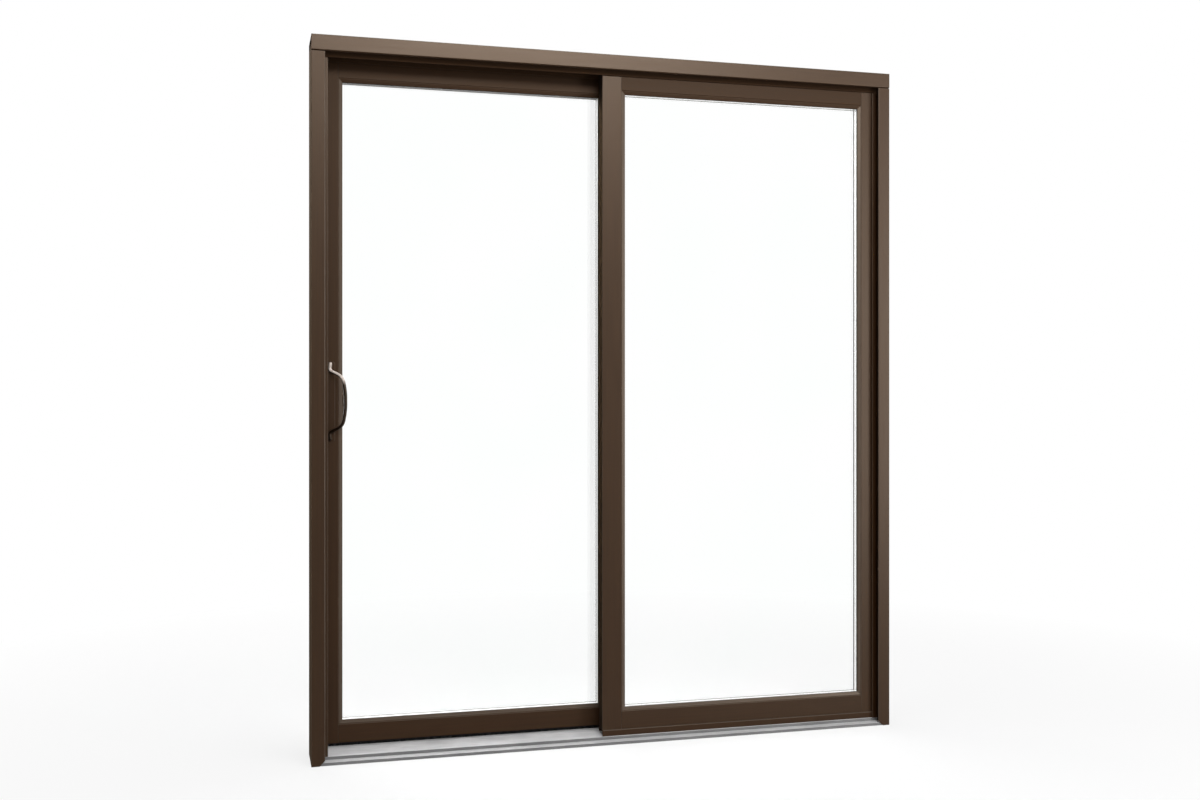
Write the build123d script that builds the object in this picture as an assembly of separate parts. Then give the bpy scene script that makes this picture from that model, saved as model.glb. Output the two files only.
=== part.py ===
# Two-panel aluminium sliding door in its frame. The left panel slides to the right, behind the fixed one.
# Millimetres, Z up. The origin is the middle of the sill's underside, and the outside of the door faces -Y.
import os
from build123d import *

os.makedirs("parts", exist_ok=True)

# Frame, overall
FRAME_WIDTH = 1797.0
FRAME_HEIGHT = 2070.0
WALL = 2.0
FIN = 2.5
EDGE_RADIUS = 1.0
FLANGE_RADIUS = 3.0

# Frame, measured inward from its outer edge
JAMB_WEB = 15.0
JAMB_FLANGE = 38.5
JAMB_FIN = 47.5
JAMB_CHANNEL_FIN = 34.0
HEAD_WEB = 26.0
HEAD_FLANGE = 45.0
HEAD_FIN = 57.0
RETURN_LIP = 7.0
SNIP = 16.0

# Sill
NOSE_SETBACK = 2.5
NOSE_HEIGHT = 9.0
NOSE_BACK_HEIGHT = 10.7
TREAD_FRONT = 19.7
TREAD_BACK = 30.0
UPSTAND = 50.0
RIB_HEIGHT = 20.0
RIB_THICKNESS = 3.0
TRACK_SKIN = 1.0
TRACK_LEG = 10.0

# Panels
PANEL_THICKNESS = 40.0
STILE = 60.5
BOTTOM_RAIL = 54.0
TOP_RAIL = 59.0
GLAZING_LIP = 11.5
LIP_SETBACK = 1.2
LIP_EDGE = 4.0
LIP_SEAT = 8.0
MEETING_OVERLAP = 77.0
HEAD_ENGAGE = 17.0

# Glass
PANE = 4.0
GLASS_EDGE = 3.0
VINYL_BACKING = 1.0
VINYL_SHOW = 1.0
SPACER_WIDTH = 7.0
SPACER_INSET = 1.5

# Clearances
SCREEN_GROOVE = 25.0
FIXED_SEAL_GAP = 2.5
CENTRE_FIN_GAP = 8.0
PANEL_GAP = 23.0
BACK_GAP = 6.0
SILL_GAP = 9.0
LOCK_GAP = 6.0
ROLLING_GAP = 0.3
PILE_GAP = 1.0
COPE_GAP = 2.0
STOP_GAP = 6.0
PULL_STOP_GAP = 10.5
TRACK_NOTCH_GAP = 6.0

# Packers between the fixed panel and its jamb
JAMB_PACKER = 8.0
PACKER_WIDTH = 22.0
PACKER_LENGTH = 60.0
PACKER_INSET = 160.0

# Interlock
HOOK = 2.0
HOOK_CLEAR = 6.0
HOOK_TIP = 12.0
HOOK_PITCH = 20.0
HOOK_END_GAP = 8.0

# Pull handle: a bent bar that leaves its plate, swings towards the glass and stands off the stile
PULL_HEIGHT = 1031.0
PULL_FROM_EDGE = 37.0
PULL_SIDE = 41.0
PULL_REACH = 38.0
PULL_RADIUS = 4.5
PULL_SIDES = 8
PULL_END = 109.0
PULL_LEAVE = 90.0
PULL_SHOULDER = 71.0
PULL_SHOULDER_SHY = 10.0
PULL_STRAIGHT = 24.0
PULL_EAR = 3.0
PULL_FOOT_BEND = 10.0
PULL_SHOULDER_BEND = 36.0
PULL_GRIP_BEND = 160.0
PLATE = 2.5
PLATE_WIDTH = 27.0
PLATE_MARGIN = 6.0
PLATE_CORNER = 6.0
PULL_SEATING = 0.5

# Lock
FACEPLATE_HEIGHT = 150.0
FACEPLATE_WIDTH = 24.0
KEEPER_HEIGHT = 120.0
KEEPER_SLOT_WIDTH = 12.0
KEEPER_SLOT_HEIGHT = 40.0
LATCH_RADIUS = 8.0
LATCH_BOSS = 4.0
LATCH_LEVER = 26.0
LATCH_LEVER_WIDTH = 7.0
LATCH_LEVER_HEIGHT = 6.0

# Rollers
WHEEL_RADIUS = 11.0
WHEEL_FLANGE = 2.5
WHEEL_WIDTH = 11.0
GROOVE_GAP = 0.5
AXLE_RADIUS = 3.0
AXLE_GAP = 0.15
AXLE_COVER = 8.0
CARRIAGE_LENGTH = 130.0
CARRIAGE_WIDTH = 26.0
CARRIAGE_INSET = 100.0
AXLE_PITCH = 70.0

# Fixing screws through the jambs, in one pair near the sill and one near the head
SCREW_HOLE = 3.5
SCREW_END = 300.0
SCREW_SPACING = 500.0

# Stop in the head, and brush seals
STOP_LENGTH = 40.0
STOP_OVERLAP = 12.0
STOP_INSET = 8.0
PILE_WIDTH = 6.0
PILE_INSET = 2.0
SWEEP_WIDTH = 4.0

# Depth stations, from the front plane of the frame to the back
FIN_AT = SCREEN_GROOVE
FIXED_AT = FIN_AT + FIN + FIXED_SEAL_GAP
FIXED_BACK = FIXED_AT + PANEL_THICKNESS
CENTRE_AT = FIXED_BACK + CENTRE_FIN_GAP
SLIDING_AT = FIXED_BACK + PANEL_GAP
SLIDING_BACK = SLIDING_AT + PANEL_THICKNESS
BACK_AT = SLIDING_BACK + BACK_GAP
DEPTH = BACK_AT + FIN
TRACK_AT = SLIDING_AT + PANEL_THICKNESS / 2

# Places across the frame
LEFT = -FRAME_WIDTH / 2
RIGHT = FRAME_WIDTH / 2
FRONT = -DEPTH / 2
CLEAR_WIDTH = FRAME_WIDTH - 2 * JAMB_WEB
PANEL_WIDTH = (CLEAR_WIDTH - LOCK_GAP - JAMB_PACKER + MEETING_OVERLAP) / 2
SLIDING_LEFT = LEFT + JAMB_WEB + LOCK_GAP
FIXED_LEFT = RIGHT - JAMB_WEB - JAMB_PACKER - PANEL_WIDTH
MEETING_AT = FIXED_LEFT + MEETING_OVERLAP / 2
GLASS_WIDTH = PANEL_WIDTH - 2 * STILE
PULL_X = SLIDING_LEFT + PULL_FROM_EDGE
TRAVEL = FIXED_LEFT - PULL_STOP_GAP - PULL_RADIUS - PULL_SIDE - PULL_X

# Heights
PANEL_BOTTOM = TREAD_BACK + SILL_GAP
RAIL_LEVEL = PANEL_BOTTOM + BOTTOM_RAIL
HEAD_FLOOR = FRAME_HEIGHT - HEAD_WEB
HEAD_FIN_LEVEL = FRAME_HEIGHT - HEAD_FIN
PANEL_TOP = HEAD_FIN_LEVEL + HEAD_ENGAGE
PANEL_HEIGHT = PANEL_TOP - PANEL_BOTTOM
RAIL_UNDER_TOP = PANEL_TOP - TOP_RAIL
GLASS_HEIGHT = RAIL_UNDER_TOP - RAIL_LEVEL
RAIL_TOP = TREAD_BACK + RIB_HEIGHT + TRACK_SKIN
AXLE_LEVEL = RAIL_TOP + ROLLING_GAP + WHEEL_RADIUS

# Planes in which the frame sections are drawn: first axis inward, second axis from front to back
LEFT_PLANE = Plane(origin=(LEFT, FRONT, 0), x_dir=(1, 0, 0), z_dir=(0, 0, 1))
HEAD_PLANE = Plane(origin=(LEFT, FRONT, FRAME_HEIGHT), x_dir=(0, 0, -1), z_dir=(1, 0, 0))


def sill_plane(right_end):
    return Plane(origin=(right_end, FRONT, 0), x_dir=(0, 0, 1), z_dir=(-1, 0, 0))


def strip(a0, a1, b0, b1):
    return Pos((a0 + a1) / 2, (b0 + b1) / 2) * Rectangle(a1 - a0, b1 - b0)


def outline(*points):
    return make_face(Polyline(*points, close=True))


# A section with some of its corners rounded.
def soften(section, radius, *corners):
    picked = [section.vertices().sort_by_distance(corner)[0] for corner in corners]
    return fillet(picked, radius)


def bar(section, plane, length):
    return extrude(plane * section, amount=length)


def save(name, shape):
    export_step(shape, "parts/" + name + ".step")


# One fin in front of the fixed panel, and two that make the sliding panel's channel.
def fins(front_fin, channel_fin):
    three = strip(0, front_fin, FIN_AT, FIN_AT + FIN)
    for station in (CENTRE_AT, BACK_AT):
        three += strip(0, channel_fin, station, station + FIN)
    return three


# The walls shared by the head and jamb extrusions: a hollow web, a front flange and the fins.
def frame_section(web, flange, front_fin, channel_fin):
    walls = strip(0, WALL, 0, DEPTH) + strip(web - WALL, web, 0, DEPTH)
    walls += strip(0, flange, 0, WALL) + strip(flange - WALL, flange, 0, RETURN_LIP)
    walls += fins(front_fin, channel_fin)
    fin_tip = ((front_fin, FIN_AT), (front_fin, FIN_AT + FIN))
    walls = soften(walls, EDGE_RADIUS, (0, 0), *fin_tip, (channel_fin, DEPTH))
    return soften(walls, FLANGE_RADIUS, (flange, 0))


# The head's section with its chambers filled and an open joint at its edges, for cutting back what meets it.
def head_outline():
    fin = HEAD_FIN + COPE_GAP
    filled = strip(0, HEAD_WEB, 0, DEPTH) + strip(0, HEAD_FLANGE + COPE_GAP, 0, RETURN_LIP)
    return filled + fins(fin, fin)


# Level of the sloped tread at a given depth.
def tread_level(depth):
    share = (depth - FIN_AT) / (CENTRE_AT - FIN_AT)
    return TREAD_FRONT + share * (TREAD_BACK - TREAD_FRONT)


# Sill: nose, riser, sloped tread, flat roller floor with a rib, and an upstand at the back
sill_body = outline(
    (0, NOSE_SETBACK),
    (NOSE_HEIGHT, NOSE_SETBACK),
    (NOSE_BACK_HEIGHT, FIN_AT),
    (TREAD_FRONT, FIN_AT),
    (TREAD_BACK, CENTRE_AT),
    (TREAD_BACK, DEPTH),
    (0, DEPTH),
)
rib_half = RIB_THICKNESS / 2
sill_webs = strip(0, TREAD_FRONT, FIN_AT, FIN_AT + WALL) + strip(0, TREAD_BACK, CENTRE_AT, CENTRE_AT + WALL)
sill_webs += strip(0, TREAD_BACK, TRACK_AT - WALL / 2, TRACK_AT + WALL / 2)
sill_upstand = strip(0, UPSTAND, BACK_AT, DEPTH)
sill_rib = strip(TREAD_BACK - WALL, TREAD_BACK + RIB_HEIGHT, TRACK_AT - rib_half, TRACK_AT + rib_half)
sill_section = sill_body - offset(sill_body, amount=-WALL, kind=Kind.INTERSECTION)
sill_section = sill_section + sill_webs + sill_upstand + sill_rib
sill_edges = ((NOSE_HEIGHT, NOSE_SETBACK), (TREAD_FRONT, FIN_AT), (UPSTAND, DEPTH))
sill_section = soften(sill_section, EDGE_RADIUS, *sill_edges)
sill = bar(sill_section, sill_plane(RIGHT - JAMB_WEB), CLEAR_WIDTH)
sill_envelope = bar(sill_body + sill_upstand, sill_plane(RIGHT - JAMB_WEB), CLEAR_WIDTH)
save("sill", sill)

# Hard strip that caps the sill's rib, on which the rollers run
cap_half = rib_half + TRACK_SKIN
track_cap = strip(RAIL_TOP - TRACK_LEG, RAIL_TOP, TRACK_AT - cap_half, TRACK_AT + cap_half)
track_cap -= strip(0, RAIL_TOP - TRACK_SKIN, TRACK_AT - rib_half, TRACK_AT + rib_half)
save("roller_track", bar(track_cap, sill_plane(RIGHT - JAMB_WEB), CLEAR_WIDTH))

# Head, over the full width
head = bar(frame_section(HEAD_WEB, HEAD_FLANGE, HEAD_FIN, HEAD_FIN), HEAD_PLANE, FRAME_WIDTH)
head_envelope = bar(head_outline(), HEAD_PLANE, FRAME_WIDTH)
save("head", head)

# Jambs, coped under the head and over the sill, with the flange snipped at the bottom inner corner
jamb = bar(frame_section(JAMB_WEB, JAMB_FLANGE, JAMB_FIN, JAMB_CHANNEL_FIN), LEFT_PLANE, HEAD_FLOOR)
jamb -= head_envelope
jamb -= sill_envelope
snip = outline((JAMB_FLANGE, 0), (JAMB_FLANGE, SNIP), (JAMB_FLANGE - SNIP, 0))
snip_plane = Plane(origin=(LEFT, FRONT, 0), x_dir=(1, 0, 0), z_dir=(0, -1, 0))
jamb -= extrude(snip_plane * snip, amount=-RETURN_LIP)
top_screw = FRAME_HEIGHT - SCREW_END
for level in (SCREW_END, SCREW_END + SCREW_SPACING, top_screw - SCREW_SPACING, top_screw):
    screw_hole = Pos(LEFT + JAMB_WEB / 2, FRONT + TRACK_AT, level) * Rot(0, 90, 0)
    jamb -= screw_hole * Cylinder(SCREW_HOLE, JAMB_WEB * 2)
save("right_jamb", mirror(jamb, about=Plane.YZ))

# The lock jamb has a pocket in its inner wall for the keeper
keeper_at = Pos(LEFT + JAMB_WEB - WALL / 2, FRONT + TRACK_AT, PULL_HEIGHT)
keeper_blank = keeper_at * Box(WALL, FACEPLATE_WIDTH, KEEPER_HEIGHT)
save("left_jamb", jamb - keeper_blank)
bolt_slot = Box(WALL * 2, KEEPER_SLOT_WIDTH, KEEPER_SLOT_HEIGHT)
save("lock_keeper", keeper_blank - keeper_at * bolt_slot)


# Glazing lips, in front of and behind the glass, along one side of a panel and mitred at both ends.
# Drawn lying along X, with the glass side up.
def lips(length):
    ramp = outline(
        (LIP_SETBACK, 0), (LIP_SEAT, 0), (LIP_SEAT, GLAZING_LIP), (LIP_EDGE, GLAZING_LIP), (LIP_SETBACK, WALL)
    )
    both = ramp + Pos(PANEL_THICKNESS, 0) * mirror(ramp, about=Plane.YZ)
    mitre = outline((0, 0), (length, 0), (length - GLAZING_LIP, GLAZING_LIP), (GLAZING_LIP, GLAZING_LIP))
    return extrude(Plane.YZ * both, amount=length) & extrude(Plane.XZ * mitre, amount=-PANEL_THICKNESS)


# A picture-frame ring set back from the inner edges of a panel's stiles and rails.
def ring(left, front, depth, near, far):
    middle_x = left + PANEL_WIDTH / 2
    middle_z = RAIL_LEVEL + GLASS_HEIGHT / 2
    face = Rectangle(GLASS_WIDTH - 2 * near, GLASS_HEIGHT - 2 * near)
    if far is not None:
        face -= Rectangle(GLASS_WIDTH - 2 * far, GLASS_HEIGHT - 2 * far)
    plane = Plane(origin=(middle_x, front, middle_z), x_dir=(1, 0, 0), z_dir=(0, -1, 0))
    return extrude(plane * face, amount=-depth)


# A tube section with broken corners, lying in the quarter where both axes are positive.
def tube(across, along, opening):
    skin = strip(0, across, 0, along)
    return chamfer(skin.vertices(), EDGE_RADIUS) - opening


# One glazed panel: two stiles, two rails, two panes, the spacer between them and the vinyl round their edge.
def panel(left, front):
    right = left + PANEL_WIDTH
    inner = PANEL_THICKNESS - WALL
    post = extrude(tube(STILE, PANEL_THICKNESS, strip(WALL, STILE - WALL, WALL, inner)), amount=PANEL_HEIGHT)
    side = lips(GLASS_HEIGHT)
    left_stile = Pos(left, front, PANEL_BOTTOM) * post
    left_stile += Pos(left + STILE, front, RAIL_UNDER_TOP) * Rot(0, 90, 0) * side
    right_stile = Pos(right - STILE, front, PANEL_BOTTOM) * post
    right_stile += Pos(right - STILE, front, RAIL_LEVEL) * Rot(0, -90, 0) * side
    level = lips(GLASS_WIDTH)
    shoe = tube(PANEL_THICKNESS, BOTTOM_RAIL, strip(WALL, inner, 0, BOTTOM_RAIL - WALL))
    bottom_rail = Pos(left + STILE, front, PANEL_BOTTOM) * extrude(Plane.YZ * shoe, amount=GLASS_WIDTH)
    bottom_rail += Pos(left + STILE, front, RAIL_LEVEL) * level
    box = tube(PANEL_THICKNESS, TOP_RAIL, strip(WALL, inner, WALL, TOP_RAIL - WALL))
    top_rail = Pos(left + STILE, front, RAIL_UNDER_TOP) * extrude(Plane.YZ * box, amount=GLASS_WIDTH)
    top_rail += Pos(right - STILE, front, RAIL_UNDER_TOP) * Rot(0, 180, 0) * level
    unit = PANEL_THICKNESS - 2 * LIP_SEAT - 2 * VINYL_SHOW
    face = front + LIP_SEAT + VINYL_SHOW
    outer_pane = ring(left, face, PANE, GLASS_EDGE, None)
    inner_pane = ring(left, face + unit - PANE, PANE, GLASS_EDGE, None)
    near = GLASS_EDGE + SPACER_INSET
    spacer = ring(left, face + PANE, unit - 2 * PANE, near, near + SPACER_WIDTH)
    vinyl = ring(left, face - VINYL_SHOW, unit + 2 * VINYL_SHOW, VINYL_BACKING, GLAZING_LIP)
    vinyl -= ring(left, face, unit, GLASS_EDGE, None)
    return left_stile, right_stile, bottom_rail, top_rail, outer_pane, inner_pane, spacer, vinyl


# Interlock hook, rising from a stile's face with its tip turned along X, drawn at its foot.
def hook():
    reach = PANEL_GAP - HOOK_CLEAR
    leg = strip(0, HOOK, 0, reach) + strip(0, HOOK_TIP, reach - HOOK, reach)
    return extrude(leg, amount=HEAD_FIN_LEVEL - HOOK_END_GAP - PANEL_BOTTOM)


# Fixed panel. Its hook and the sliding panel's stand either side of the middle of the overlap.
fixed = panel(FIXED_LEFT, FRONT + FIXED_AT)
fixed_hook = Pos(MEETING_AT - HOOK_PITCH / 2 - HOOK, FRONT + FIXED_BACK, PANEL_BOTTOM) * hook()
save("fixed_meeting_stile", fixed[0] + fixed_hook)
save("fixed_jamb_stile", fixed[1])
save("fixed_bottom_rail", fixed[2])
save("fixed_top_rail", fixed[3])
save("fixed_outer_pane", fixed[4])
save("fixed_inner_pane", fixed[5])
save("fixed_spacer", fixed[6])
save("fixed_vinyl", fixed[7])

# Filler that carries the fixed panel on the sloped tread, with a bevelled top edge in front of the panel
filler_front = FIN_AT + FIN
filler = outline(
    (tread_level(filler_front), filler_front),
    (PANEL_BOTTOM - FIXED_SEAL_GAP, filler_front),
    (PANEL_BOTTOM, FIXED_AT),
    (PANEL_BOTTOM, FIXED_BACK),
    (tread_level(FIXED_BACK), FIXED_BACK),
)
filler -= strip(0, PANEL_BOTTOM - FIXED_SEAL_GAP - WALL, filler_front + WALL, FIXED_BACK - WALL)
save("sill_filler", bar(filler, sill_plane(RIGHT - JAMB_WEB), PANEL_WIDTH + JAMB_PACKER))

# Packers that wedge the fixed panel's outer stile against the jamb
packer = Box(JAMB_PACKER, PACKER_WIDTH, PACKER_LENGTH)
packer_x = RIGHT - JAMB_WEB - JAMB_PACKER / 2
packer_levels = (PANEL_BOTTOM + PACKER_INSET, PANEL_BOTTOM + PANEL_HEIGHT / 2, PANEL_TOP - PACKER_INSET)
packers = [Pos(packer_x, FRONT + FIXED_AT + PANEL_THICKNESS / 2, level) * packer for level in packer_levels]
save("fixed_packers", Compound(children=packers))

# Sliding panel, with its stiles notched to ride over the roller track
sliding = panel(SLIDING_LEFT, FRONT + SLIDING_AT)
notch_half = cap_half + TRACK_NOTCH_GAP
notch = strip(PANEL_BOTTOM, RAIL_TOP + TRACK_NOTCH_GAP, TRACK_AT - notch_half, TRACK_AT + notch_half)
track_notch = bar(notch, sill_plane(RIGHT), FRAME_WIDTH)
faceplate_at = Pos(SLIDING_LEFT + WALL / 2, FRONT + TRACK_AT, PULL_HEIGHT)
faceplate = faceplate_at * Box(WALL, FACEPLATE_WIDTH, FACEPLATE_HEIGHT)
save("sliding_lock_stile", sliding[0] - faceplate - track_notch)
save("lock_faceplate", faceplate - faceplate_at * bolt_slot)
sliding_hook = Pos(MEETING_AT + HOOK_PITCH / 2 + HOOK, FRONT + SLIDING_AT, PANEL_BOTTOM)
sliding_hook = sliding_hook * mirror(mirror(hook(), about=Plane.YZ), about=Plane.XZ)
save("sliding_meeting_stile", sliding[1] + sliding_hook - track_notch)
save("sliding_bottom_rail", sliding[2])
save("sliding_top_rail", sliding[3])
save("sliding_outer_pane", sliding[4])
save("sliding_inner_pane", sliding[5])
save("sliding_spacer", sliding[6])
save("sliding_vinyl", sliding[7])

# Brush sweeps that hang from the sliding panel's front and back walls and close the gap over the sill
sweeps = []
for near in (SLIDING_AT, SLIDING_BACK - SWEEP_WIDTH):
    sweep_section = strip(TREAD_BACK + PILE_GAP, PANEL_BOTTOM, near, near + SWEEP_WIDTH)
    sweeps.append(bar(sweep_section, sill_plane(SLIDING_LEFT + PANEL_WIDTH), PANEL_WIDTH))
save("sliding_brush", Compound(children=sweeps))


# Pull handle: the bent bar fused to its plate, which lies on the plane y = 0.
def pull():
    swing = (PULL_SIDE**2 + PULL_REACH**2) ** 0.5
    upper = [
        (0, PULL_END),
        (-PULL_EAR, PULL_LEAVE),
        (swing - PULL_SHOULDER_SHY, PULL_SHOULDER),
        (swing, PULL_STRAIGHT),
    ]
    lower = [(aside, -height) for aside, height in reversed(upper)]
    bends = [PULL_FOOT_BEND, PULL_SHOULDER_BEND, PULL_GRIP_BEND]
    stand_off = PLATE + PULL_RADIUS - PULL_SEATING
    swung = Plane(
        origin=(0, -stand_off, 0), x_dir=(PULL_SIDE, -PULL_REACH, 0), z_dir=(-PULL_REACH, -PULL_SIDE, 0)
    )
    spine = swung * FilletPolyline(*upper, *lower, radius=bends + bends[::-1])
    start = Plane(origin=spine @ 0, x_dir=swung.z_dir, z_dir=spine % 0)
    grip = sweep(start * RegularPolygon(PULL_RADIUS, PULL_SIDES), path=spine)
    stile_face = Plane(origin=(0, 0, 0), x_dir=(1, 0, 0), z_dir=(0, -1, 0))
    plate = RectangleRounded(PLATE_WIDTH, 2 * (PULL_END + PLATE_MARGIN), PLATE_CORNER)
    return grip + extrude(stile_face * plate, amount=PLATE)


handle = pull()
save("outside_pull", Pos(PULL_X, FRONT + SLIDING_AT, PULL_HEIGHT) * handle)
inside_at = Pos(PULL_X, FRONT + SLIDING_BACK, PULL_HEIGHT)
save("inside_pull", inside_at * mirror(handle, about=Plane.XZ))

# Thumb latch on the inside plate: a round boss with a lever across it
latch_face = Plane(origin=(0, PLATE, 0), x_dir=(1, 0, 0), z_dir=(0, 1, 0))
latch = extrude(latch_face * Circle(LATCH_RADIUS), amount=LATCH_BOSS)
lever = SlotOverall(LATCH_LEVER, LATCH_LEVER_WIDTH, rotation=90)
latch += extrude(latch_face * lever, amount=LATCH_BOSS + LATCH_LEVER_HEIGHT)
save("thumb_latch", inside_at * latch)

# Roller carriages inside the bottom rail, each with two grooved wheels on fixed pins
web_level = RAIL_LEVEL - WALL
half = CARRIAGE_WIDTH / 2
saddle = strip(-half, half, AXLE_LEVEL - AXLE_COVER, web_level)
saddle -= strip(WALL - half, half - WALL, 0, web_level - WALL)
carriage = extrude(Plane.YZ * saddle, amount=CARRIAGE_LENGTH / 2, both=True)
rim = WHEEL_RADIUS + WHEEL_FLANGE
bore = AXLE_RADIUS + AXLE_GAP
groove = cap_half + GROOVE_GAP
wheel = strip(bore, rim, -WHEEL_WIDTH / 2, WHEEL_WIDTH / 2) - strip(WHEEL_RADIUS, rim, -groove, groove)
wheel = revolve(wheel, axis=Axis.Y)
axles = (-AXLE_PITCH / 2, AXLE_PITCH / 2)
for axle in axles:
    carriage += Pos(axle, 0, AXLE_LEVEL) * Rot(90, 0, 0) * Cylinder(AXLE_RADIUS, CARRIAGE_WIDTH)
for side, middle in (
    ("left", SLIDING_LEFT + STILE + CARRIAGE_INSET),
    ("right", SLIDING_LEFT + PANEL_WIDTH - STILE - CARRIAGE_INSET),
):
    place = Pos(middle, FRONT + TRACK_AT, 0)
    save(side + "_carriage", place * carriage)
    save(side + "_wheels", Compound(children=[place * Pos(axle, 0, AXLE_LEVEL) * wheel for axle in axles]))

# Rubber stop in the head's back channel that ends the travel before the pull meets the fixed stile
stop_x = SLIDING_LEFT + PANEL_WIDTH + TRAVEL + STOP_GAP
stop_foot = FRAME_HEIGHT - PANEL_TOP + STOP_OVERLAP
stop_section = strip(HEAD_WEB, stop_foot, SLIDING_AT + STOP_INSET, SLIDING_BACK - STOP_INSET)
stop_plane = Plane(origin=(stop_x, FRONT, FRAME_HEIGHT), x_dir=(0, 0, -1), z_dir=(1, 0, 0))
save("open_stop", bar(stop_section, stop_plane, STOP_LENGTH))


# Section of a brush seal near the tip of a fin, across a gap in depth.
def pile(fin, gap):
    return strip(fin - PILE_INSET - PILE_WIDTH, fin - PILE_INSET, *gap)


# Brush seals on the fins beside the sliding panel
front_gap = (CENTRE_AT + FIN, SLIDING_AT - PILE_GAP)
back_gap = (SLIDING_BACK + PILE_GAP, BACK_AT)
head_run = FRAME_WIDTH - 2 * JAMB_CHANNEL_FIN
head_pile_at = (LEFT + JAMB_CHANNEL_FIN, FRONT, FRAME_HEIGHT)
head_pile_plane = Plane(origin=head_pile_at, x_dir=(0, 0, -1), z_dir=(1, 0, 0))
head_piles = [bar(pile(HEAD_FIN, gap), head_pile_plane, head_run) for gap in (front_gap, back_gap)]
save("head_pile", Compound(children=head_piles))
jamb_run = HEAD_FIN_LEVEL - UPSTAND
jamb_pile_plane = Plane(origin=(LEFT, FRONT, UPSTAND), x_dir=(1, 0, 0), z_dir=(0, 0, 1))
jamb_piles = [bar(pile(JAMB_CHANNEL_FIN, gap), jamb_pile_plane, jamb_run) for gap in (front_gap, back_gap)]
save("jamb_pile", Compound(children=jamb_piles))
save("sill_pile", bar(pile(UPSTAND, back_gap), sill_plane(RIGHT - JAMB_CHANNEL_FIN), head_run))
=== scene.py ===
# The look of the two-panel sliding door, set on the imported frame. Metres, Z up, outside faces -Y.
import math
import random

import bmesh
import bpy
from mathutils import Matrix, Vector


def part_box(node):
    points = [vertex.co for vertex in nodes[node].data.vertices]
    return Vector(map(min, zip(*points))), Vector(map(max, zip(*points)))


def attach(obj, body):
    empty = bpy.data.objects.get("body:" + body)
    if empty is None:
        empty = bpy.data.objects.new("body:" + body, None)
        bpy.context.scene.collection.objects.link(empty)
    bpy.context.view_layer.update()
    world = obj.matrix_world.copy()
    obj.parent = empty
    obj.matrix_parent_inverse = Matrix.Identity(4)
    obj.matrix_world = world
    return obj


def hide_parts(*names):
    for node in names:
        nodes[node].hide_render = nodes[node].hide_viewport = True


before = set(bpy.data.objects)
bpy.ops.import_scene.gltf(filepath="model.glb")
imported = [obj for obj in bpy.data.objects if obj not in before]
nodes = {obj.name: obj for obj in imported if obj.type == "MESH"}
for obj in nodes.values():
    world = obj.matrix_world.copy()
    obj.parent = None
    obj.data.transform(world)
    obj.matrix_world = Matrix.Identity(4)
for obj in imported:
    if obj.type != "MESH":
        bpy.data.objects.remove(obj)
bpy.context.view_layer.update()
random.seed(7)

# How much a texture is squeezed along each axis, so that its streaks run along a piece.
UPRIGHT = (1, 1, 0.02)
LEVEL = (0.02, 1, 1)
EVEN = (1, 1, 1)

SILL_CLOUDS = (0.4, 1, 1)

# Noise scales of streaks along a piece, of clouds and of fine peel, some of them for one finish alone.
STREAK_SCALE = 300
SILL_STREAK_SCALE = 420
CLOUD_SCALE = 14
SILL_CLOUD_SCALE = 30
SPACER_CLOUD_SCALE = 60
PULL_CLOUD_SCALE = 180
PEEL_SCALE = 1300
RIPPLE_SCALE = 3

# The low and high that noise mostly stays between, and how far from its middle two tones meet.
NOISE_RANGE = (0.3, 0.7)
TONE_REACH = 0.15
SILL_TONE_REACH = 0.18
GLASS_TONE_REACH = 0.2

# How deep the relief goes, and how far the shading rounds an edge.
RELIEF_DEPTH = 0.0004
RIPPLE_DEPTH = 0.001
RIPPLE_STRENGTH = 0.008
EDGE_ROUNDING = 0.0006

# Parts of a face's normal, between which each look starts and ends.
# Faces tilted this far up or sideways get a painted highlight.
HIGHLIGHT_TILT = (0.2, 0.8)
TILT_FADE = 0.06
# Faces turned left this far get painted shade, and turn dull.
LEFT_FACING = (-0.95, -0.8)
UNDERSIDE = (-0.6, -0.1)
SPACER_UNDERSIDE = (-0.8, -0.3)
# The pull's painted highlight lies on faces turned up this far.
PULL_HIGHLIGHT_SIDE = (-0.35, 0.05)
# Sill faces turned up this far get painted light.
SILL_LIT_FACING = (0.3, 0.8)

# The roughness of dull places, and how far behind its face the head turns dull.
DULL_ROUGHNESS = 0.95
HEAD_FACE_DEPTH = 0.005
DULL_FADE = 0.008

# Dark and light tones of each finish, its range of roughness, and its relief's strength and share of streaks.
BRONZE_TINT = (1.0, 0.8, 0.63, 1)
BRONZE = ((0.0155, 0.0055, 0.0011), (0.0195, 0.0073, 0.0016))
# Paler bronze that paints a highlight on tilted beads and edges.
BRONZE_HIGHLIGHT = ((0.044, 0.031, 0.023), (0.056, 0.042, 0.032))
# Near-black bronze that paints shade on faces turned left.
LEFT_SHADE = ((0.012, 0.008, 0.006), (0.018, 0.012, 0.009))
BRONZE_RELIEF = (0.10, 0.4)
STEEL = ((0.42, 0.42, 0.43), (0.55, 0.55, 0.56))
STEEL_ROUGHNESS = (0.28, 0.4)
STEEL_RELIEF = (0.12, 0.7)
RUBBER = ((0.008, 0.008, 0.008), (0.014, 0.014, 0.013))
PILE = ((0.003, 0.003, 0.003), (0.009, 0.009, 0.009))
PLASTIC = ((0.012, 0.012, 0.013), (0.02, 0.02, 0.021))
# Dark tones that paint shade on the spacer's face under the top rail.
SPACER_SHADE = ((0.03, 0.026, 0.022), (0.05, 0.044, 0.038))
SPACER_SIDE = ((0.93, 0.93, 0.92), (0.97, 0.97, 0.96))
SPACER_ROUGHNESS = (0.25, 0.35)
SPACER_RELIEF = (0.1, 0.5)
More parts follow.
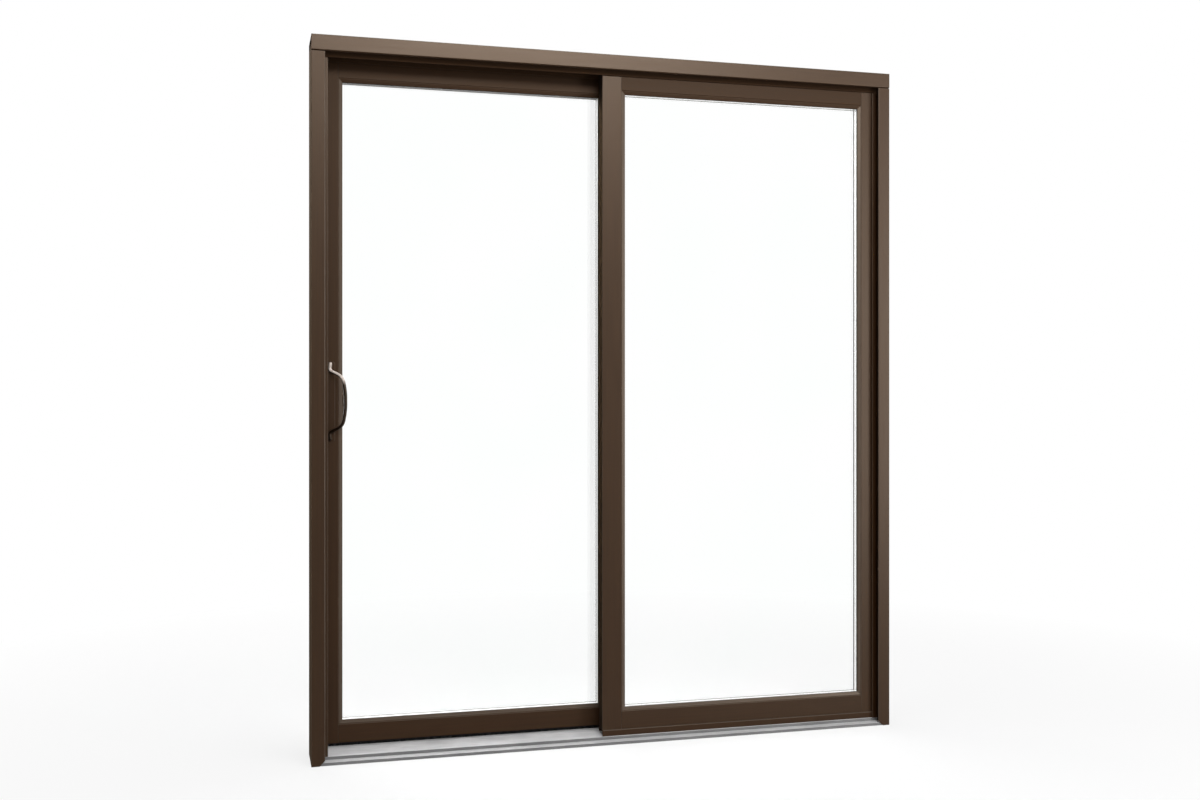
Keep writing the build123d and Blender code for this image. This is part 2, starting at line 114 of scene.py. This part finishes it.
# Sill tones: painted light for faces turned up, painted shade for upright faces.
SILL_LIT_TONES = ((0.37, 0.37, 0.375), (0.61, 0.61, 0.615))
SILL_SHADED_TONES = ((0.095, 0.095, 0.095), (0.15, 0.15, 0.15))
GLASS = ((0.992, 1, 0.996), (1, 1, 1))
GLASS_IOR = 1.5
PULL_COAT = ((0.007, 0.0035, 0.0015), (0.010, 0.005, 0.002))
# Paler tones that paint a highlight on the pull's upper bend.
PULL_HIGHLIGHT = ((0.50, 0.43, 0.38), (0.66, 0.59, 0.54))

# How far over its middle the pull's painted highlight starts, and where it is full.
PULL_HIGHLIGHT_RISE = (0.048, 0.070)

# Roughness range and specular level of the coating on each set of pieces.
FRAME_SATIN = ((0.35, 0.405), 0.32)
HEAD_SATIN = ((0.335, 0.39), 0.38)
SLIDING_SATIN = ((0.53, 0.59), 0.25)

# The pull: a bar on a plate, with the runs and bends of one half of the bar.
PULL_RADIUS = 0.0045
PULL_SINK = 0.0005
PULL_FOOT_INSET = 0.006
PULL_EAR = 0.003
PULL_EAR_DROP = 0.019
PULL_SHOULDER_DROP = 0.038
PULL_SHOULDER_SHY = 0.010
PULL_STRAIGHT = 0.024
PULL_BENDS = [0.010, 0.036, 0.160]
BAR_SIDES = 24
BAR_STEP = 0.002
FEWEST_BEND_STEPS = 4
DOME_ANGLES = (0.25, 0.7, 1.15)
PLATE_THICKNESS = 0.0025
PLATE_WIDTH = 0.027
PLATE_CORNER = 0.006
PLATE_SOFT = 0.0012
PLATE_STEPS = 8
SOFT_ANGLES = (0.4, 0.8, 1.2, math.pi / 2)

# Screw heads: their form in shares of a head's radius, then their radii and places.
SCREW_SIDES = 24
SCREW_BRIM = 0.9
SCREW_RISE = 0.12
SCREW_RIM_LIFT = 1.1
CROSS_ARM = 0.52
CROSS_HALF = 0.13
CROSS_TAPER = 0.7
CROSS_DEPTH = 0.4
PLATE_SCREW_RADIUS = 0.0038
EDGE_SCREW_RADIUS = 0.0035
PLATE_SCREW_LIFT = 0.046
FACEPLATE_SCREW_LIFT = 0.064
KEEPER_SCREW_LIFT = 0.05

# Brush seals: the backing, and the fibres with how far each may stray.
WELD = 1e-6
BACKING = 0.0012
BACKING_SHOULDER = 0.7
BACKING_CROWN = 0.6
FIBRE_PITCH = 0.0018
FIBRE_THICKNESS = 0.0005
FIBRE_ROWS = (-0.9, -0.3, 0.3, 0.9)
ROW_SPACING = 0.26
ROW_SPLAY = 0.08
STRAY_ALONG = 0.0006
STRAY_ASIDE = 0.0003
LEAN_ALONG = 0.0009
LEAN_ASIDE = 0.0005
TIP_TAPER = 0.5
SHORTEST_FIBRE = 0.9

# The floor's half width, tone and fade into white, and the light that the ground gives.
FLOOR_SIZE = 60
FLOOR_GREY = (0.7, 0.7, 0.7, 1)
FLOOR_FADE = (1.0, 3.0)
FLOOR_WHITE_NEAR = 0.8
WHITE = (1, 1, 1, 1)
AMBIENT = 0.08

# The camera, fitted to the photo.
LENS = 39.18
LENS_SHIFT = -0.007
EYE_PLACE = (-1.0776, -3.83795, 1.0596)
EYE_TURN = -15.185


# Material nodes

def connect(tree, socket, value):
    if isinstance(value, bpy.types.NodeSocket):
        tree.links.new(value, socket)
    else:
        socket.default_value = value


def put(tree, kind, sockets, **settings):
    node = tree.nodes.new(kind)
    for key, value in settings.items():
        setattr(node, key, value)
    for key, value in sockets.items():
        connect(tree, node.inputs[key], value)
    return node


def reckon(tree, operation, *values):
    return put(tree, "ShaderNodeMath", dict(enumerate(values)), operation=operation).outputs[0]


def feed(tree, name, value):
    connect(tree, tree.nodes["Principled BSDF"].inputs[name], value)


# What already feeds a socket of the shader.
def fed(tree, name):
    return tree.nodes["Principled BSDF"].inputs[name].links[0].from_socket


def grain(tree, stretch, scale, detail):
    place = put(tree, "ShaderNodeTexCoord", {}).outputs["Object"]
    place = put(tree, "ShaderNodeMapping", {"Vector": place, "Scale": stretch}).outputs["Vector"]
    noise = put(tree, "ShaderNodeTexNoise", {"Vector": place, "Scale": scale, "Detail": detail})
    return noise.outputs["Fac"]


def fade(tree, value, start, end, first, last):
    sockets = {"Value": value, "From Min": start, "From Max": end, "To Min": first, "To Max": last}
    return put(tree, "ShaderNodeMapRange", sockets).outputs["Result"]


# Noise from its usual low to its usual high, brought to a range of roughness.
def spread(tree, value, low, high):
    return fade(tree, value, *NOISE_RANGE, low, high)


def both(tree, first, second, share):
    return reckon(tree, "MULTIPLY_ADD", first, 1 - share, reckon(tree, "MULTIPLY", second, share))


# Two colours across a noise, meeting over the given reach each side of its middle.
def ramp(tree, value, tones, reach=TONE_REACH):
    node = put(tree, "ShaderNodeValToRGB", {"Fac": value})
    for element, side, colour in zip(node.color_ramp.elements, (-1, 1), tones):
        element.position = 0.5 + side * reach
        element.color = (*colour, 1)
    return node.outputs["Color"]


# Two patterned colours, blended by a mask.
def blended(tree, mask, first, last):
    blend = put(tree, "ShaderNodeMix", {0: mask}, data_type="RGBA")
    first_socket, last_socket = [socket for socket in blend.inputs if socket.type == "RGBA"]
    connect(tree, first_socket, first)
    connect(tree, last_socket, last)
    return [socket for socket in blend.outputs if socket.type == "RGBA"][0]


# One part of a point's place, or of its normal, in the object's own frame.
def coordinate(tree, kind, axis):
    vector = put(tree, "ShaderNodeTexCoord", {}).outputs[kind]
    return put(tree, "ShaderNodeSeparateXYZ", {0: vector}).outputs[axis]


def facing(tree, axis):
    return coordinate(tree, "Normal", axis)


# How far a face's tilt lies between two limits, fading over a little at each.
def between(tree, tilt, low, high):
    above = fade(tree, tilt, low - TILT_FADE, low + TILT_FADE, 0, 1)
    below = fade(tree, tilt, high - TILT_FADE, high + TILT_FADE, 1, 0)
    return reckon(tree, "MULTIPLY", above, below)


# A finish with its roughness and relief, edges rounded in the shading, and constants set on the shader.
def finish_of(name, stretch, roughness, relief, **constants):
    material = bpy.data.materials.new(name)
    material.use_nodes = True
    tree = material.node_tree
    for key, value in constants.items():
        feed(tree, key.replace("_", " "), value)
    streak = grain(tree, stretch, STREAK_SCALE, 3)
    feed(tree, "Roughness", spread(tree, streak, *roughness))
    strength, share = relief
    height = both(tree, grain(tree, EVEN, PEEL_SCALE, 2), streak, share)
    edge = put(tree, "ShaderNodeBevel", {"Radius": EDGE_ROUNDING}, samples=4).outputs["Normal"]
    sockets = {"Height": height, "Strength": strength, "Distance": RELIEF_DEPTH, "Normal": edge}
    feed(tree, "Normal", put(tree, "ShaderNodeBump", sockets).outputs["Normal"])
    return material


# A finish of two tones that vary along the streaks and in clouds.
def plain_finish(name, stretch, tones, roughness, relief, **constants):
    material = finish_of(name, stretch, roughness, relief, **constants)
    tree = material.node_tree
    streak = grain(tree, stretch, STREAK_SCALE, 3)
    cloud = grain(tree, EVEN, CLOUD_SCALE, 3)
    feed(tree, "Base Color", ramp(tree, both(tree, streak, cloud, share=0.5), tones))
    return material


# Satin bronze coating: a painted highlight in paler colour on beads and edges, painted shade in near-black
# metal on faces turned left, and dull on faces turned left, undersides and behind a depth.
def bronze(name, stretch, roughness, level, dull_behind=None):
    constants = {"Specular_Tint": BRONZE_TINT, "Specular_IOR_Level": level}
    material = finish_of(name, stretch, roughness, BRONZE_RELIEF, **constants)
    tree = material.node_tree
    across = facing(tree, "X")
    up = facing(tree, "Z")
    streak = grain(tree, stretch, STREAK_SCALE, 3)
    plain, edge_highlight, side = [ramp(tree, streak, tones) for tones in (BRONZE, BRONZE_HIGHLIGHT, LEFT_SHADE)]
    tilt = reckon(tree, "MAXIMUM", reckon(tree, "ABSOLUTE", across), up)
    # Painted shade: near-black metal on faces turned left.
    left_shade_mask = fade(tree, across, *LEFT_FACING, 1, 0)
    # Painted highlight on faces tilted up or sideways.
    painted_highlight = between(tree, tilt, *HIGHLIGHT_TILT)
    feed(tree, "Base Color", blended(tree, left_shade_mask, blended(tree, painted_highlight, plain, edge_highlight), side))
    feed(tree, "Metallic", left_shade_mask)
    dull = [fade(tree, across, *LEFT_FACING, DULL_ROUGHNESS, 0), fade(tree, up, *UNDERSIDE, DULL_ROUGHNESS, 0)]
    if dull_behind is not None:
        depth = coordinate(tree, "Object", "Y")
        dull.append(fade(tree, depth, dull_behind, dull_behind + DULL_FADE, 0, DULL_ROUGHNESS))
    rough = fed(tree, "Roughness")
    for value in dull:
        rough = reckon(tree, "MAXIMUM", rough, value)
    feed(tree, "Roughness", rough)
    return material


# Spacer bar of the sliding panel: bright metal, with painted shade on the face that hangs under the top rail.
def spacer_finish():
    material = finish_of("spacer_metal", EVEN, SPACER_ROUGHNESS, SPACER_RELIEF, Metallic=1)
    tree = material.node_tree
    cloud = grain(tree, EVEN, SPACER_CLOUD_SCALE, 3)
    spacer_shade = ramp(tree, cloud, SPACER_SHADE)
    side = ramp(tree, cloud, SPACER_SIDE)
    # Painted shade on faces that turn down.
    mask = fade(tree, facing(tree, "Z"), *SPACER_UNDERSIDE, 0, 1)
    feed(tree, "Base Color", blended(tree, mask, spacer_shade, side))
    return material


# Pull: dark and smooth, with a painted highlight of paler colour on its upper bend.
def pull_finish():
    constants = {"Specular_Tint": BRONZE_TINT, "Specular_IOR_Level": 0.3}
    material = finish_of("pull_bronze", EVEN, roughness=(0.34, 0.42), relief=(0.06, 0.3), **constants)
    tree = material.node_tree
    cloud = grain(tree, EVEN, PULL_CLOUD_SCALE, 3)
    low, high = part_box("outside_pull")
    middle = (low.z + high.z) / 2
    start, end = [middle + rise for rise in PULL_HIGHLIGHT_RISE]
    # Painted highlight: paler colour on the top side of the upper bend.
    upper = fade(tree, coordinate(tree, "Object", "Z"), start, end, 0, 1)
    over = fade(tree, facing(tree, "Z"), *PULL_HIGHLIGHT_SIDE, 0, 1)
    painted_highlight = reckon(tree, "MULTIPLY", upper, over)
    coat, pull_highlight = [ramp(tree, cloud, tones) for tones in (PULL_COAT, PULL_HIGHLIGHT)]
    feed(tree, "Base Color", blended(tree, painted_highlight, coat, pull_highlight))
    return material


# Anodised sill: faces turned up bright with painted light, upright faces dull with painted shade, with faint
# drawing lines along its length.
def sill_finish():
    material = finish_of("sill_aluminium", LEVEL, roughness=(0.38, 0.5), relief=(0.15, 0.7), Metallic=0.2)
    tree = material.node_tree
    streak = grain(tree, LEVEL, SILL_STREAK_SCALE, 4)
    cloud = grain(tree, SILL_CLOUDS, SILL_CLOUD_SCALE, 4)
    lit_tone = ramp(tree, both(tree, streak, cloud, share=0.5), SILL_LIT_TONES, SILL_TONE_REACH)
    dull = ramp(tree, both(tree, streak, cloud, share=0.4), SILL_SHADED_TONES, SILL_TONE_REACH)
    # Painted light on faces turned up, painted shade on upright ones.
    mask = fade(tree, facing(tree, "Z"), *SILL_LIT_FACING, 0, 1)
    feed(tree, "Base Color", blended(tree, mask, dull, lit_tone))
    return material


# Clear float glass, with the faintest ripple.
def glass_finish():
    material = bpy.data.materials.new("glass")
    material.use_nodes = True
    tree = material.node_tree
    ripple = grain(tree, EVEN, RIPPLE_SCALE, 1)
    feed(tree, "Base Color", ramp(tree, ripple, GLASS, GLASS_TONE_REACH))
    feed(tree, "Transmission Weight", 1)
    feed(tree, "Roughness", 0)
    feed(tree, "IOR", GLASS_IOR)
    sockets = {"Height": ripple, "Strength": RIPPLE_STRENGTH, "Distance": RIPPLE_DEPTH}
    feed(tree, "Normal", put(tree, "ShaderNodeBump", sockets).outputs["Normal"])
    return material


frame_upright = bronze("bronze_upright", UPRIGHT, *FRAME_SATIN)
frame_level = bronze("bronze_level", LEVEL, *FRAME_SATIN)
head_level = bronze("head_level", LEVEL, *HEAD_SATIN, dull_behind=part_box("head")[0].y + HEAD_FACE_DEPTH)
sliding_upright = bronze("sliding_upright", UPRIGHT, *SLIDING_SATIN)
sliding_level = bronze("sliding_level", LEVEL, *SLIDING_SATIN)
rubber = plain_finish("vinyl", EVEN, RUBBER, roughness=(0.6, 0.75), relief=(0.2, 0.4))
brush = plain_finish("pile", EVEN, PILE, roughness=(0.85, 0.95), relief=(0.3, 0.2), Specular_IOR_Level=0.1)
plastic = plain_finish("plastic", EVEN, PLASTIC, roughness=(0.45, 0.55), relief=(0.15, 0.3))
steel_level = plain_finish("steel_level", LEVEL, STEEL, STEEL_ROUGHNESS, STEEL_RELIEF, Metallic=1)
steel_upright = plain_finish("steel_upright", UPRIGHT, STEEL, STEEL_ROUGHNESS, STEEL_RELIEF, Metallic=1)
spacer_metal = spacer_finish()
bright_spacer = plain_finish(
    "bright_spacer", EVEN, SPACER_SIDE, SPACER_ROUGHNESS, SPACER_RELIEF, Metallic=1
)
pull_bronze = pull_finish()
sill_aluminium = sill_finish()
glass = glass_finish()


# Finishes of the solids

def dress(name, material):
    mesh = nodes[name].data
    mesh.materials.clear()
    mesh.materials.append(material)


for name in ("left_jamb", "right_jamb"):
    dress(name, frame_upright)
dress("head", head_level)
dress("sill", sill_aluminium)
dress("sill_filler", sliding_level)
dress("roller_track", steel_level)
dress("fixed_packers", plastic)
dress("lock_keeper", steel_upright)
dress("lock_faceplate", steel_upright)
dress("open_stop", rubber)
dress("thumb_latch", pull_bronze)
for panel, upright, level, spacer in (
    ("fixed", frame_upright, frame_level, bright_spacer),
    ("sliding", sliding_upright, sliding_level, spacer_metal),
):
    dress(panel + "_top_rail", sliding_level)
    dress(panel + "_bottom_rail", level)
    dress(panel + "_meeting_stile", upright)
    for name in ("_outer_pane", "_inner_pane"):
        dress(panel + name, glass)
        nodes[panel + name].visible_shadow = False
    dress(panel + "_spacer", spacer)
    dress(panel + "_vinyl", rubber)
dress("fixed_jamb_stile", frame_upright)
dress("sliding_lock_stile", sliding_upright)
for side in ("left", "right"):
    dress(side + "_carriage", steel_level)
    dress(side + "_wheels", steel_level)


# New pieces

def piece(name, mesh_maker, materials, body, slot, *stands_for):
    mesh = bpy.data.meshes.new(name)
    builder = bmesh.new()
    mesh_maker(builder)
    bmesh.ops.recalc_face_normals(builder, faces=builder.faces)
    builder.to_mesh(mesh)
    builder.free()
    for material in materials:
        mesh.materials.append(material)
    made = bpy.data.objects.new(name, mesh)
    bpy.context.scene.collection.objects.link(made)
    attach(made, body)
    if stands_for:
        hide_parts(*stands_for)


# Faces between neighbouring rings of points.
def skin(builder, rings, smooth=True):
    for one, two in zip(rings, rings[1:]):
        for i in range(len(one)):
            j = (i + 1) % len(one)
            builder.faces.new((one[i], one[j], two[j], two[i])).smooth = smooth


# Points along straight runs joined by tangent arcs.
def bent_path(points, radii, step):
    path = [points[0]]
    for before, corner, after, radius in zip(points, points[1:], points[2:], radii):
        into = (corner - before).normalized()
        away = (after - corner).normalized()
        turn = into.angle(away)
        reach = radius * math.tan(turn / 2)
        start = corner - into * reach
        middle = corner + (away - into).normalized() * (radius / math.cos(turn / 2))
        axis = into.cross(away).normalized()
        count = max(FEWEST_BEND_STEPS, math.ceil(turn * radius / step))
        for i in range(count + 1):
            path.append(middle + Matrix.Rotation(turn * i / count, 3, axis) @ (start - middle))
    path.append(points[-1])
    return path


# A round bar along a path, with domed ends.
def sweep_bar(builder, path, radius, sides):
    tangents = []
    for i, point in enumerate(path):
        before = path[max(i - 1, 0)]
        after = path[min(i + 1, len(path) - 1)]
        tangents.append((after - before).normalized())
    stations = [(path[0], tangents[0], -math.cos(a), math.sin(a)) for a in DOME_ANGLES]
    stations += [(point, tangent, 0, 1) for point, tangent in zip(path, tangents)]
    stations += [(path[-1], tangents[-1], math.cos(a), math.sin(a)) for a in reversed(DOME_ANGLES)]
    across = tangents[0].orthogonal().normalized()
    rings = []
    for point, tangent, shift, swell in stations:
        across = (across - tangent * across.dot(tangent)).normalized()
        other = tangent.cross(across)
        centre = point + tangent * (shift * radius)
        ring = []
        for i in range(sides):
            angle = 2 * math.pi * i / sides
            spoke = across * math.cos(angle) + other * math.sin(angle)
            ring.append(builder.verts.new(centre + spoke * radius * swell))
        rings.append(ring)
    skin(builder, rings)
    builder.faces.new(rings[0])
    builder.faces.new(rings[-1])


# A round-cornered plate with a softened front edge, in the piece's second finish. The centre is on its back.
def plate(builder, centre, out, width, height):
    profile = [(0, 0), (0, PLATE_THICKNESS - PLATE_SOFT)]
    for angle in SOFT_ANGLES:
        inset = PLATE_SOFT * (1 - math.cos(angle))
        profile.append((inset, PLATE_THICKNESS - PLATE_SOFT + PLATE_SOFT * math.sin(angle)))
    loops = []
    for inset, depth in profile:
        loop = []
        for quarter, (sx, sz) in enumerate(((1, 1), (-1, 1), (-1, -1), (1, -1))):
            for i in range(PLATE_STEPS + 1):
                angle = math.pi / 2 * (quarter + i / PLATE_STEPS)
                x = sx * (width / 2 - PLATE_CORNER) + (PLATE_CORNER - inset) * math.cos(angle)
                z = sz * (height / 2 - PLATE_CORNER) + (PLATE_CORNER - inset) * math.sin(angle)
                loop.append(builder.verts.new(centre + Vector((x, 0, z)) + out * depth))
        loops.append(loop)
    skin(builder, loops)
    builder.faces.new(loops[0])
    builder.faces.new(loops[-1])
    for loop in loops:
        for vertex in loop:
            for face in vertex.link_faces:
                face.material_index = 1


# A bow pull in place of its solid. Gives back the middle of its plate, on the stile.
def pull(name, out_sign):
    low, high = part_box(name)
    out = Vector((0, out_sign, 0))
    stile_face = high.y if out_sign < 0 else low.y
    centre = Vector((low.x + PLATE_WIDTH / 2, stile_face, (low.z + high.z) / 2))
    plate_height = high.z - low.z
    side = high.x - PULL_RADIUS - centre.x
    stand_off = PLATE_THICKNESS + PULL_RADIUS - PULL_SINK
    reach = (high.y - low.y) - PULL_RADIUS - stand_off
    swing = Vector((side, out_sign * reach, 0))
    along = swing.normalized()
    end = plate_height / 2 - PULL_FOOT_INSET
    upper = [
        (0, end),
        (-PULL_EAR, end - PULL_EAR_DROP),
        (swing.length - PULL_SHOULDER_SHY, end - PULL_SHOULDER_DROP),
        (swing.length, PULL_STRAIGHT),
    ]
    flat = upper + [(aside, -level) for aside, level in reversed(upper)]
    foot = centre + out * stand_off
    points = [foot + along * aside + Vector((0, 0, level)) for aside, level in flat]
    path = bent_path(points, PULL_BENDS + PULL_BENDS[::-1], BAR_STEP)

    def make(builder):
        sweep_bar(builder, path, PULL_RADIUS, BAR_SIDES)
        plate(builder, centre, out, PLATE_WIDTH, plate_height)

    piece(name + "_bar", make, (pull_bronze, sliding_upright), "sliding_panel", "pull_bronze", name)
    return centre


pull("outside_pull", -1)
inside_centre = pull("inside_pull", 1)


# A low cross-recess screw head, facing along out.
def screw(builder, centre, out, radius):
    turn = Vector((0, 0, 1)).rotation_difference(out).to_matrix()
    spin = random.uniform(0, math.pi / 2)

    def at(x, y, z):
        c, s = math.cos(spin), math.sin(spin)
        return builder.verts.new(centre + turn @ Vector((c * x - s * y, s * x + c * y, z)))

    def closed(ring):
        return [builder.edges.get((one, two)) for one, two in zip(ring, ring[1:] + ring[:1])]

    angles = [2 * math.pi * i / SCREW_SIDES for i in range(SCREW_SIDES)]
    rise = radius * SCREW_RISE
    edge = radius * SCREW_BRIM
    skirt = [at(radius * math.cos(a), radius * math.sin(a), 0) for a in angles]
    brim = [at(edge * math.cos(a), edge * math.sin(a), rise) for a in angles]
    arm, half = radius * CROSS_ARM, radius * CROSS_HALF
    cross = []
    for quarter in range(4):
        for x, y in ((arm, half), (half, half), (half, arm)):
            for _ in range(quarter):
                x, y = -y, x
            cross.append((x, y))
    rim = [at(x, y, rise * SCREW_RIM_LIFT) for x, y in cross]
    pit = [at(x * CROSS_TAPER, y * CROSS_TAPER, -radius * CROSS_DEPTH) for x, y in cross]
    skin(builder, [skirt, brim], smooth=False)
    skin(builder, [rim, pit], smooth=False)
    builder.faces.new(pit)
    bmesh.ops.triangle_fill(builder, edges=closed(brim) + closed(rim), use_beauty=True)


def screws(name, body, places, out, radius):
    def make(builder):
        for place in places:
            screw(builder, Vector(place), Vector(out), radius)

    piece(name, make, (steel_upright,), body, "steel")


def edge_screws(name, body, node, out_x, lift):
    low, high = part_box(node)
    x = low.x if out_x < 0 else high.x
    middle = (low + high) / 2
    places = [(x, middle.y, middle.z + sign * lift) for sign in (-1, 1)]
    screws(name, body, places, (out_x, 0, 0), EDGE_SCREW_RADIUS)


plate_face = inside_centre.y + PLATE_THICKNESS
lifts = (-PLATE_SCREW_LIFT, PLATE_SCREW_LIFT)
plate_places = [(inside_centre.x, plate_face, inside_centre.z + lift) for lift in lifts]
screws("inside_plate_screws", "sliding_panel", plate_places, (0, 1, 0), PLATE_SCREW_RADIUS)
edge_screws("faceplate_screws", "sliding_panel", "lock_faceplate", -1, FACEPLATE_SCREW_LIFT)
edge_screws("keeper_screws", "frame", "lock_keeper", 1, KEEPER_SCREW_LIFT)


# The box of each separate strip in a node, from front to back.
def strips(node):
    builder = bmesh.new()
    builder.from_mesh(nodes[node].data)
    bmesh.ops.remove_doubles(builder, verts=builder.verts, dist=WELD)
    found = []
    left = set(builder.verts)
    while left:
        group, waiting = set(), {left.pop()}
        while waiting:
            vertex = waiting.pop()
            group.add(vertex)
            for link in vertex.link_edges:
                other = link.other_vert(vertex)
                if other in left:
                    left.discard(other)
                    waiting.add(other)
        corners = [vertex.co for vertex in group]
        found.append((Vector(map(min, zip(*corners))), Vector(map(max, zip(*corners)))))
    builder.free()
    return sorted(found, key=lambda box: box[0].y)


# A number at random, as far as stray to either side.
def stray_by(stray):
    return random.uniform(-stray, stray)


# A woven backing with rows of fibres that lean at random, in place of a node's strips.
def brush_seal(node, body, *outward):
    boxes = strips(node)

    def make(builder):
        for (low, high), out in zip(boxes, outward):
            brush_strip(builder, low, high, out)

    piece(node + "_fibres", make, (brush,), body, "pile", node)


def brush_strip(builder, low, high, out):
    size = high - low
    deep = max(range(3), key=lambda axis: abs(out[axis]))
    run = max(range(3), key=lambda axis: size[axis])
    wide = 3 - deep - run
    root = low[deep] if out[deep] > 0 else high[deep]
    middle = (low[wide] + high[wide]) / 2
    width = size[wide]

    def at(along, aside, depth):
        point = Vector((0, 0, 0))
        point[run] = along
        point[wide] = middle + aside
        point[deep] = root + out[deep] * depth
        return builder.verts.new(point)

    half = width / 2
    shoulder = BACKING * BACKING_SHOULDER
    crown = half * BACKING_CROWN
    right = [(half, 0), (half, shoulder), (crown, BACKING)]
    section = [(-half, 0)] + right + [(-crown, BACKING), (-half, shoulder)]
    ends = [[at(place, aside, depth) for aside, depth in section] for place in (low[run], high[run])]
    skin(builder, ends, smooth=False)
    for end in ends:
        builder.faces.new(end)
    thick = FIBRE_THICKNESS
    corners = [(-thick, -thick), (thick, -thick), (0, thick)]
    for row in FIBRE_ROWS:
        for i in range(int(size[run] / FIBRE_PITCH) - 1):
            along = low[run] + FIBRE_PITCH * (i + 1) + stray_by(STRAY_ALONG)
            aside = row * width * ROW_SPACING + stray_by(STRAY_ASIDE)
            lean = stray_by(LEAN_ALONG)
            swing = row * width * ROW_SPLAY + stray_by(LEAN_ASIDE)
            tip = size[deep] * random.uniform(SHORTEST_FIBRE, 1.0)
            foot = [at(along + x, aside + y, BACKING) for x, y in corners]
            end, off = along + lean, aside + swing
            head = [at(end + x * TIP_TAPER, off + y * TIP_TAPER, tip) for x, y in corners]
            skin(builder, [foot, head], smooth=False)
            builder.faces.new(head)


brush_seal("head_pile", "frame", (0, 1, 0), (0, -1, 0))
brush_seal("jamb_pile", "frame", (0, 1, 0), (0, -1, 0))
brush_seal("sill_pile", "frame", (0, -1, 0))
brush_seal("sliding_brush", "sliding_panel", (0, 0, -1), (0, 0, -1))


# Floor, light and camera

# 1 for rays that show the white ground, straight, mirrored or through glass.
def seen(tree):
    rays = put(tree, "ShaderNodeLightPath", {}).outputs
    first = reckon(tree, "MAXIMUM", rays["Is Camera Ray"], rays["Is Glossy Ray"])
    return reckon(tree, "MAXIMUM", first, rays["Is Transmission Ray"])


# A pale floor that keeps the door's shadow near it and fades into the white behind.
def studio_floor():
    mesh = bpy.data.meshes.new("floor")
    corners = [(x * FLOOR_SIZE, y * FLOOR_SIZE, 0) for x, y in ((-1, -1), (1, -1), (1, 1), (-1, 1))]
    mesh.from_pydata(corners, [], [(0, 1, 2, 3)])
    floor = bpy.data.objects.new("floor", mesh)
    bpy.context.scene.collection.objects.link(floor)
    material = bpy.data.materials.new("floor")
    material.use_nodes = True
    tree = material.node_tree
    tree.nodes.remove(tree.nodes["Principled BSDF"])
    matt = put(tree, "ShaderNodeBsdfDiffuse", {"Color": FLOOR_GREY})
    white = put(tree, "ShaderNodeEmission", {"Color": WHITE, "Strength": 1})
    place = put(tree, "ShaderNodeTexCoord", {}).outputs["Object"]
    away = put(tree, "ShaderNodeVectorMath", {0: place}, operation="LENGTH").outputs["Value"]
    level = fade(tree, away, *FLOOR_FADE, FLOOR_WHITE_NEAR, 1)
    share = reckon(tree, "MULTIPLY", seen(tree), level)
    mixed = put(tree, "ShaderNodeMixShader", {0: share, 1: matt.outputs[0], 2: white.outputs[0]})
    tree.links.new(mixed.outputs[0], tree.nodes["Material Output"].inputs["Surface"])
    mesh.materials.append(material)


def studio_world():
    world = bpy.data.worlds.new("studio")
    bpy.context.scene.world = world
    world.use_nodes = True
    tree = world.node_tree
    ambient = tree.nodes["Background"]
    ambient.inputs["Color"].default_value = WHITE
    ambient.inputs["Strength"].default_value = AMBIENT
    white = put(tree, "ShaderNodeBackground", {"Color": WHITE, "Strength": 1})
    mixed = put(tree, "ShaderNodeMixShader", {0: seen(tree), 1: ambient.outputs[0], 2: white.outputs[0]})
    tree.links.new(mixed.outputs[0], tree.nodes["World Output"].inputs["Surface"])


def softbox(name, place, target, width, height, power):
    light = bpy.data.lights.new(name, "AREA")
    light.shape = "RECTANGLE"
    light.size = width
    light.size_y = height
    light.energy = power
    lamp = bpy.data.objects.new(name, light)
    bpy.context.scene.collection.objects.link(lamp)
    lamp.location = place
    lamp.rotation_euler = (Vector(target) - Vector(place)).to_track_quat("-Z", "Y").to_euler()
    lamp.visible_camera = False
    lamp.visible_transmission = False


def studio_camera():
    camera = bpy.data.cameras.new("camera")
    camera.lens = LENS
    camera.shift_y = LENS_SHIFT
    eye = bpy.data.objects.new("camera", camera)
    bpy.context.scene.collection.objects.link(eye)
    eye.location = EYE_PLACE
    eye.rotation_euler = (math.radians(90), 0, math.radians(EYE_TURN))
    bpy.context.scene.camera = eye


studio_floor()
studio_world()
softbox("key", place=(0.45, -3.8, 3.45), target=(0.3, 0, 1.4), width=2.7, height=1.1, power=158)
softbox("side", place=(3.4, -3.9, 1.35), target=(0.6, 0, 1.1), width=1.1, height=2.7, power=120)
softbox("overhead", place=(-0.1, -1.1, 3.9), target=(-0.1, -0.5, 0), width=2.6, height=0.8, power=34)
softbox("back", place=(-1.0, 4.2, 3.6), target=(0, 0, 1.1), width=4.0, height=1.6, power=150)
studio_camera()
bpy.context.scene.view_settings.view_transform = "Standard"
